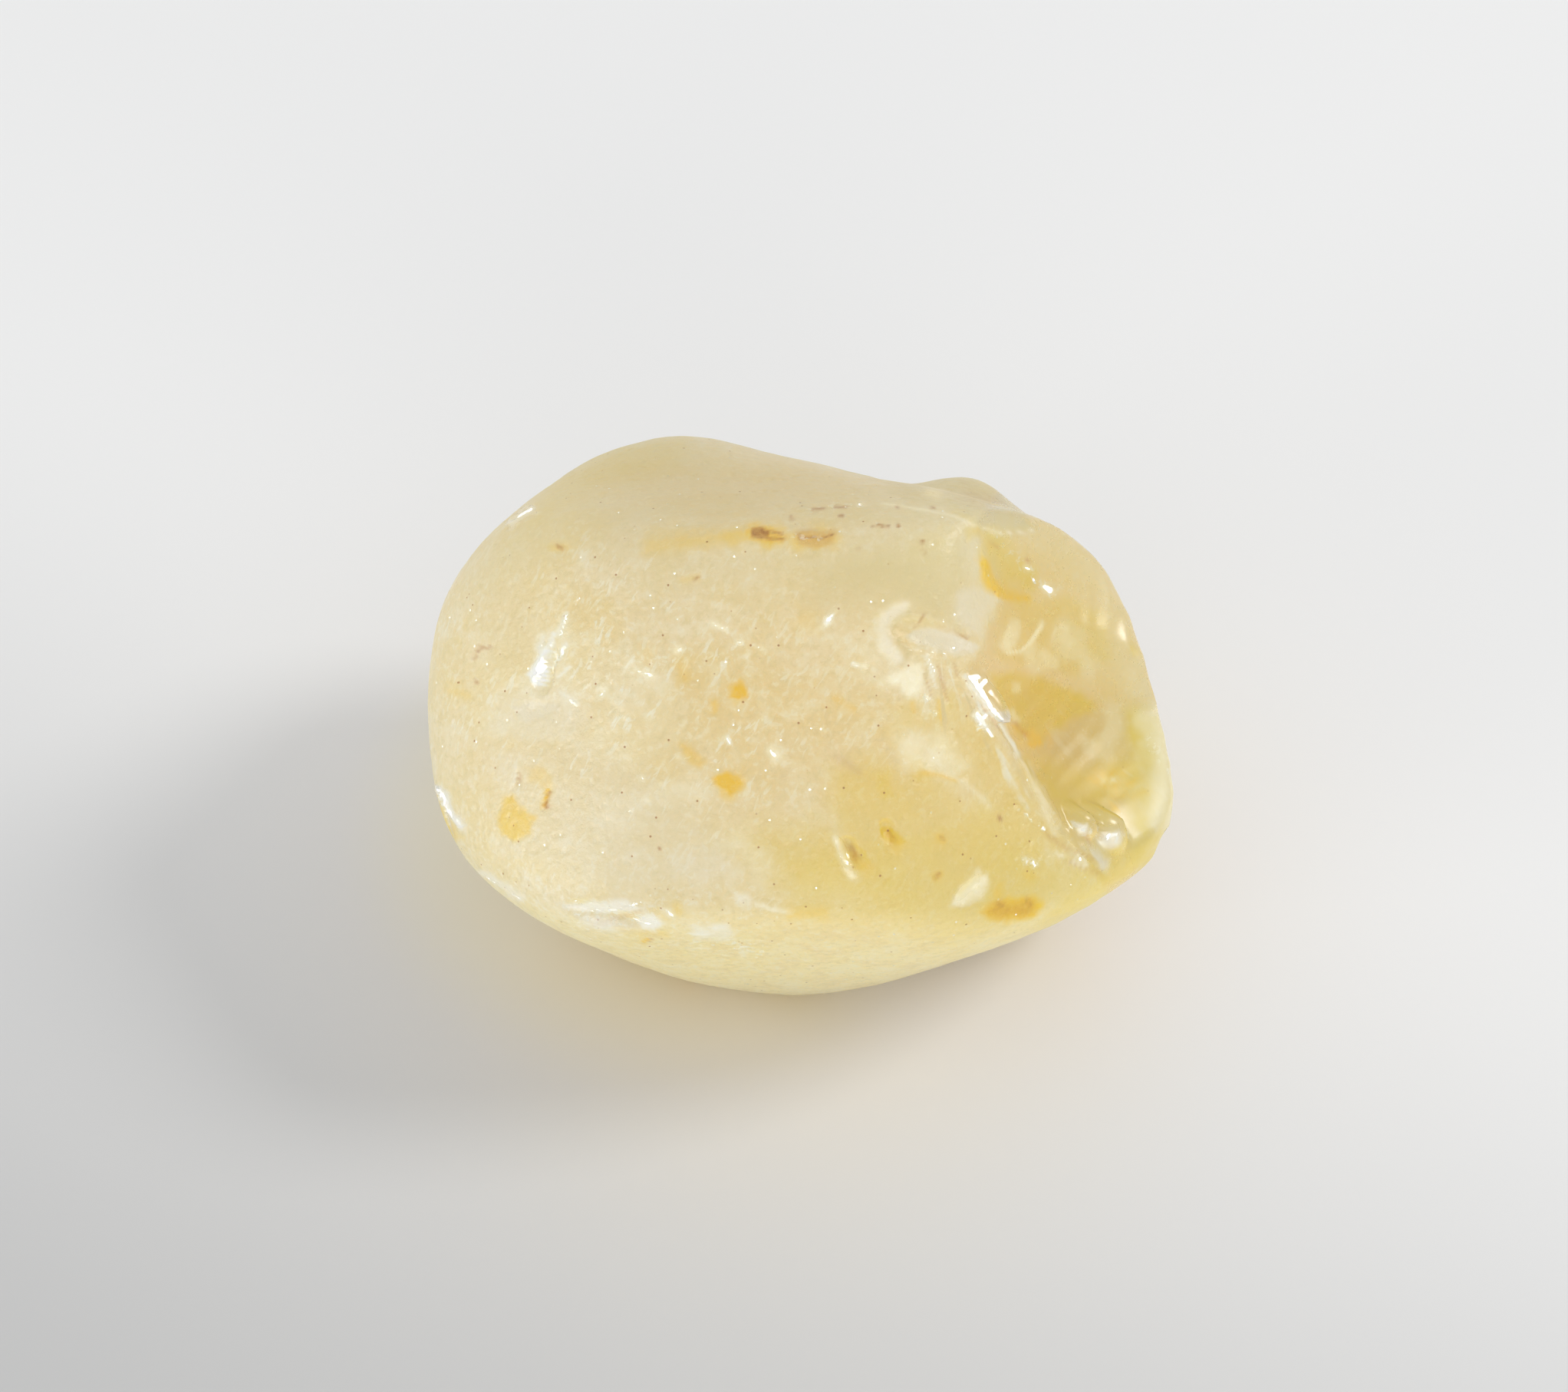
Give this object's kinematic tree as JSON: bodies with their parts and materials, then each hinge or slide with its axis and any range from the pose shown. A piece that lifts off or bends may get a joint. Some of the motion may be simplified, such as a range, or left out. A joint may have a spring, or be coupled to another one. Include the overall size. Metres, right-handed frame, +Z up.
{
  "type": "rough sapphire",
  "caption": "Water-worn rough crystal pebble, see-through and frosted, with a glassy curved break at one end and a small worn flat it rests on.",
  "frame": {"origin": "middle of the footprint, on the plane the stone rests on", "axes": "+Z up, +X along the long axis towards the broken end, the broad front face looks towards -Y and up"},
  "size_m": [0.012, 0.0096, 0.0087],
  "materials": {
    "sapphire": "pale yellow corundum, see-through; frosted water-worn skin, glassy on the break, thin ochre iron stains"
  },
  "bodies": {
    "root": {"rough_sapphire": "sapphire"}
  },
  "joints": []
}
